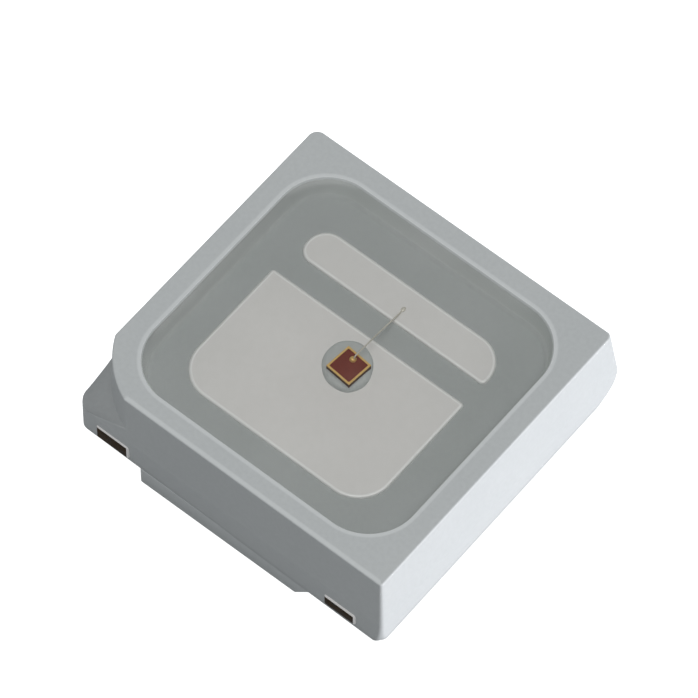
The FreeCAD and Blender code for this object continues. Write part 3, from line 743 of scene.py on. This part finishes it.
def moulded_plastic():
    """Grey filled plastic: faint flow clouds, filler specks, painted highlight on rims, painted light on
    walls and lower faces, painted shade on the slope and foot.
    """
    material, tree = new_material("moulded plastic")
    place = object_place(tree)
    flow, speck, grain = noise(tree, place, 1.6), noise(tree, place, 0.06, 4), noise(tree, place, 0.025, 2)
    body = colours(tree, flow, [(0.3, (0.405, 0.424, 0.426)), (0.7, (0.418, 0.436, 0.436))])
    fleck = colours(tree, speck, [(0.35, (0.97, 0.97, 0.97)), (0.65, (1.02, 1.02, 1.02))])
    flecked = blend(tree, 1.0, body, fleck, "MULTIPLY")
    # the rim attribute: painted shade below nought, painted light above it
    painted_amount = rim_of(tree)
    shade_share, painted_light = limits(tree, painted_amount, DARKEST_SHADE, 0.0), limits(tree, painted_amount, 0.0, 1.0)
    shade_colour = colours(tree, shade_share, [(0.0, (0.60, 0.60, 0.605)), (1.0, (1, 1, 1))])
    darkened = blend(tree, 1.0, flecked, shade_colour, "MULTIPLY")
    colour = blend(tree, painted_light, darkened, (0.90, 0.925, 0.92, 1))
    shader = add_node(tree, "ShaderNodeBsdfPrincipled", [
        ("Base Color", colour), ("Roughness", between(tree, speck, 0.5, 0.62)),
        ("Specular IOR Level", 0.3), ("Normal", bump(tree, grain, 0.2, 0.001)),
    ])
    close_material(tree, shader.outputs[0])
    return material


def silver_plating():
    """Matte silver: cloudy tarnish, fine plating grain, a painted highlight on the coined edges."""
    material, tree = new_material("silver plating")
    place = object_place(tree)
    cloud, blotch = noise(tree, place, 0.9, 4), noise(tree, place, 0.12, 3)
    grain = noise(tree, place, 0.012, 2)
    body = colours(tree, cloud, [(0.25, (0.845, 0.825, 0.81)), (0.75, (0.865, 0.845, 0.83))])
    spots = colours(tree, blotch, [(0.3, (0.98, 0.98, 0.975)), (0.7, (1.01, 1.01, 1.01))])
    mottled = blend(tree, 1.0, body, spots, "MULTIPLY")
    # painted highlight on the pad's coined edge, from the rim attribute
    colour = blend(tree, rim_of(tree), mottled, (0.97, 0.96, 0.95, 1))
    shader = add_node(tree, "ShaderNodeBsdfPrincipled", [
        ("Base Color", colour), ("Metallic", 0.35), ("Roughness", between(tree, blotch, 0.46, 0.58)),
        ("Normal", bump(tree, grain, 0.4, 0.0012)),
    ])
    close_material(tree, shader.outputs[0])
    return material


def sheared_copper():
    """Bare copper alloy, tarnished dark, with the shear's upright marks."""
    material, tree = new_material("sheared copper")
    place = object_place(tree)
    marks = add_node(tree, "ShaderNodeMapping", [("Vector", place), ("Scale", (1, 1, 0.1))]).outputs[0]
    streak, tarnish = noise(tree, marks, 0.015, 2), noise(tree, place, 0.09, 3)
    colour = colours(tree, tarnish, [(0.3, (0.016, 0.008, 0.001)), (0.75, (0.046, 0.023, 0.004))])
    shader = add_node(tree, "ShaderNodeBsdfPrincipled", [
        ("Base Color", colour), ("Metallic", 0.3), ("Roughness", between(tree, tarnish, 0.45, 0.65)),
        ("Specular IOR Level", 0.15), ("Normal", bump(tree, streak, 0.5, 0.003)),
    ])
    close_material(tree, shader.outputs[0])
    return material


def chip_material(name, dark, light, roughness):
    """Semiconductor with faint cloudiness and a fine lapped grain."""
    material, tree = new_material(name)
    place = object_place(tree)
    cloud, grain = noise(tree, place, 0.08, 3), noise(tree, place, 0.008, 2)
    shader = add_node(tree, "ShaderNodeBsdfPrincipled", [
        ("Base Color", colours(tree, cloud, [(0.3, dark), (0.7, light)])),
        ("Roughness", between(tree, grain, roughness, roughness + 0.12)), ("Specular IOR Level", 0.15),
        ("Normal", bump(tree, grain, 0.3, 0.0008)),
    ])
    close_material(tree, shader.outputs[0])
    return material


def gold(name, dark, light, metallic=0.7):
    """Soft gold with a fine grain, less metallic on the wire, which is paler."""
    material, tree = new_material(name)
    place = object_place(tree)
    cloud, grain = noise(tree, place, 0.05, 3), noise(tree, place, 0.006, 2)
    shader = add_node(tree, "ShaderNodeBsdfPrincipled", [
        ("Base Color", colours(tree, cloud, [(0.3, dark), (0.7, light)])), ("Metallic", metallic),
        ("Roughness", between(tree, grain, 0.34, 0.5)), ("Normal", bump(tree, grain, 0.3, 0.0006)),
    ])
    close_material(tree, shader.outputs[0])
    return material


def filled_adhesive():
    """Grey adhesive with fine silver flakes."""
    material, tree = new_material("silver-filled adhesive")
    place = object_place(tree)
    cloud, flake = noise(tree, place, 0.1, 3), noise(tree, place, 0.012, 2)
    body = colours(tree, cloud, [(0.3, (0.525, 0.55, 0.54)), (0.7, (0.57, 0.595, 0.585))])
    colour = blend(tree, between(tree, flake, 0.0, 0.25), body, (0.62, 0.64, 0.66, 1))
    shader = add_node(tree, "ShaderNodeBsdfPrincipled", [
        ("Base Color", colour), ("Roughness", between(tree, flake, 0.4, 0.6)),
        ("Normal", bump(tree, flake, 0.5, 0.003)),
    ])
    close_material(tree, shader.outputs[0])
    return material


def clear_silicone():
    """Smoke-tinted, slightly milky filling. Light that grazes it mostly doesn't cross it."""
    material, tree = new_material("clear silicone")
    place = object_place(tree)
    cloud, ripple = noise(tree, place, 1.2, 2), noise(tree, place, 0.6, 1)
    tint = colours(tree, cloud, [(0.3, (0.785, 0.790, 0.782)), (0.7, (0.795, 0.800, 0.792))])
    grazing = colours(tree, add_node(tree, "ShaderNodeLayerWeight").outputs["Facing"], [
        (0.0, (1, 1, 1)), (0.6, (1, 1, 1)), (0.9, (0.02, 0.02, 0.02)),
    ])
    normal = bump(tree, ripple, 0.1, 0.002)
    passed = blend(tree, 1.0, tint, grazing, "MULTIPLY")
    through = add_node(tree, "ShaderNodeBsdfTransparent", [("Color", passed)])
    gloss = add_node(tree, "ShaderNodeBsdfGlossy", [
        ("Roughness", between(tree, ripple, 0.10, 0.16)), ("Normal", normal),
    ])
    share = add_node(tree, "ShaderNodeFresnel", [("IOR", 1.41), ("Normal", normal)])
    milk = colours(tree, cloud, [(0.3, (0.32, 0.34, 0.33)), (0.7, (0.34, 0.36, 0.35))])
    haze = add_node(tree, "ShaderNodeBsdfDiffuse", [("Color", milk)])
    milky = add_node(tree, "ShaderNodeMixShader", [(0, 0.04), (1, through.outputs[0]), (2, haze.outputs[0])])
    mixed = add_node(tree, "ShaderNodeMixShader", [
        (0, share.outputs[0]), (1, milky.outputs[0]), (2, gloss.outputs[0]),
    ])
    close_material(tree, mixed.outputs[0])
    return material


def silicone_inside():
    """The filling's faces against the walls, where nothing reflects."""
    material, tree = new_material("silicone on the wall")
    place = object_place(tree)
    tint = colours(tree, noise(tree, place, 1.2, 2), [(0.3, (0.985, 0.99, 0.985)), (0.7, (1, 1, 1))])
    through = add_node(tree, "ShaderNodeBsdfTransparent", [("Color", tint)])
    close_material(tree, through.outputs[0])
    return material


# Camera, light and floor

def make_camera():
    """Place, turn and lens were solved from the corners and parallel edges of the top face."""
    data = bpy.data.cameras.new("camera")
    data.sensor_width = 36.0
    data.lens = 316.5
    data.clip_start, data.clip_end = 0.005, 5.0
    camera = bpy.data.objects.new("camera", data)
    camera.location = Vector((24.845, -30.694, 70.850)) * MM
    camera.rotation_euler = Euler([math.radians(a) for a in (29.796, -0.2115, 39.331)])
    bpy.context.scene.collection.objects.link(camera)
    bpy.context.scene.camera = camera


def add_softbox(name, place, aim, size, power, colour=(1, 1, 1)):
    """A soft light at a place, as wide and high as its size, looking along aim's opposite."""
    data = bpy.data.lights.new(name, "AREA")
    data.shape = "RECTANGLE"
    data.size, data.size_y = size
    data.energy, data.color = power, colour
    lamp = bpy.data.objects.new(name, data)
    lamp.location = Vector(place)
    lamp.rotation_euler = Vector(aim).to_track_quat("Z", "Y").to_euler()
    bpy.context.scene.collection.objects.link(lamp)


def make_light():
    world = bpy.data.worlds.new("studio")
    world.use_nodes = True
    background = world.node_tree.nodes["Background"]
    background.inputs["Color"].default_value = (0.96, 0.98, 1.0, 1)
    background.inputs["Strength"].default_value = 0.435
    bpy.context.scene.world = world
    strip_place, strip_size, strip_colour = (0.060, 0.0185, 0.00088), (0.040, 0.0017), (0.97, 0.960, 1.0)
    add_softbox("low light strip", strip_place, (1, 0, 0), strip_size, 0.0556, strip_colour)
    add_softbox("top softbox", (0.03, 0.0, 0.3), (0.1, 0, 1), (0.25, 0.25), 0.55)


def make_floor():
    """A plain white table, lit from within. Its glow stays on it and doesn't light the part's sides."""
    bm = bmesh.new()
    reach, height = 0.4, -0.00002
    corners = ((-reach, -reach), (reach, -reach), (reach, reach), (-reach, reach))
    bm.faces.new([bm.verts.new((x, y, height)) for x, y in corners])
    mesh = bpy.data.meshes.new("table")
    bm.to_mesh(mesh)
    bm.free()
    material, tree = new_material("white table")
    top = add_node(tree, "ShaderNodeBsdfDiffuse", [("Color", (0.46, 0.47, 0.48, 1))])
    glow = add_node(tree, "ShaderNodeEmission", [("Color", (1, 1, 1, 1)), ("Strength", 1.0)])
    both = add_node(tree, "ShaderNodeAddShader", [(0, top.outputs[0]), (1, glow.outputs[0])])
    close_material(tree, both.outputs[0])
    mesh.materials.append(material)
    table = bpy.data.objects.new("table", mesh)
    bpy.context.scene.collection.objects.link(table)
    own_light = bpy.data.collections.new("lit by the table")
    own_light.objects.link(table)
    table.light_linking.receiver_collection = own_light


# The part

def make_part():
    silver, shear = silver_plating(), sheared_copper()
    chip_gold = gold("contact gold", (0.78, 0.50, 0.15), (0.84, 0.56, 0.20))
    wire_gold = gold("wire gold", (0.73, 0.695, 0.61), (0.77, 0.735, 0.65), 0.3)
    chip_side = chip_material("chip side", (0.080, 0.030, 0.012), (0.110, 0.045, 0.018), 0.35)
    chip_face = chip_material("chip face", (0.20, 0.022, 0.006), (0.22, 0.028, 0.010), 0.3)
    make_housing(moulded_plastic())
    make_lead("large_pad_lead", LARGE_PAD, LARGE_LEG, -1, silver, shear, "die_pad_lead")
    make_lead("bar_pad_lead", BAR_PAD, BAR_LEG, 1, silver, shear, "bar_lead")
    bm = bmesh.new()
    add_chip(bm)
    make_piece("chip", bm, [chip_side, chip_face], ["die"])
    bm = bmesh.new()
    add_border(bm)
    make_piece("chip_border", bm, [chip_gold], ["die_border"])
    bm = bmesh.new()
    add_contact(bm)
    make_piece("chip_contact", bm, [chip_gold], ["bond_pad"])
    make_adhesive(filled_adhesive())
    make_wire(wire_gold, chip_gold)
    make_filling(clear_silicone(), silicone_inside())


make_part()
make_camera()
make_light()
make_floor()
bpy.context.scene.view_settings.view_transform = "Standard"
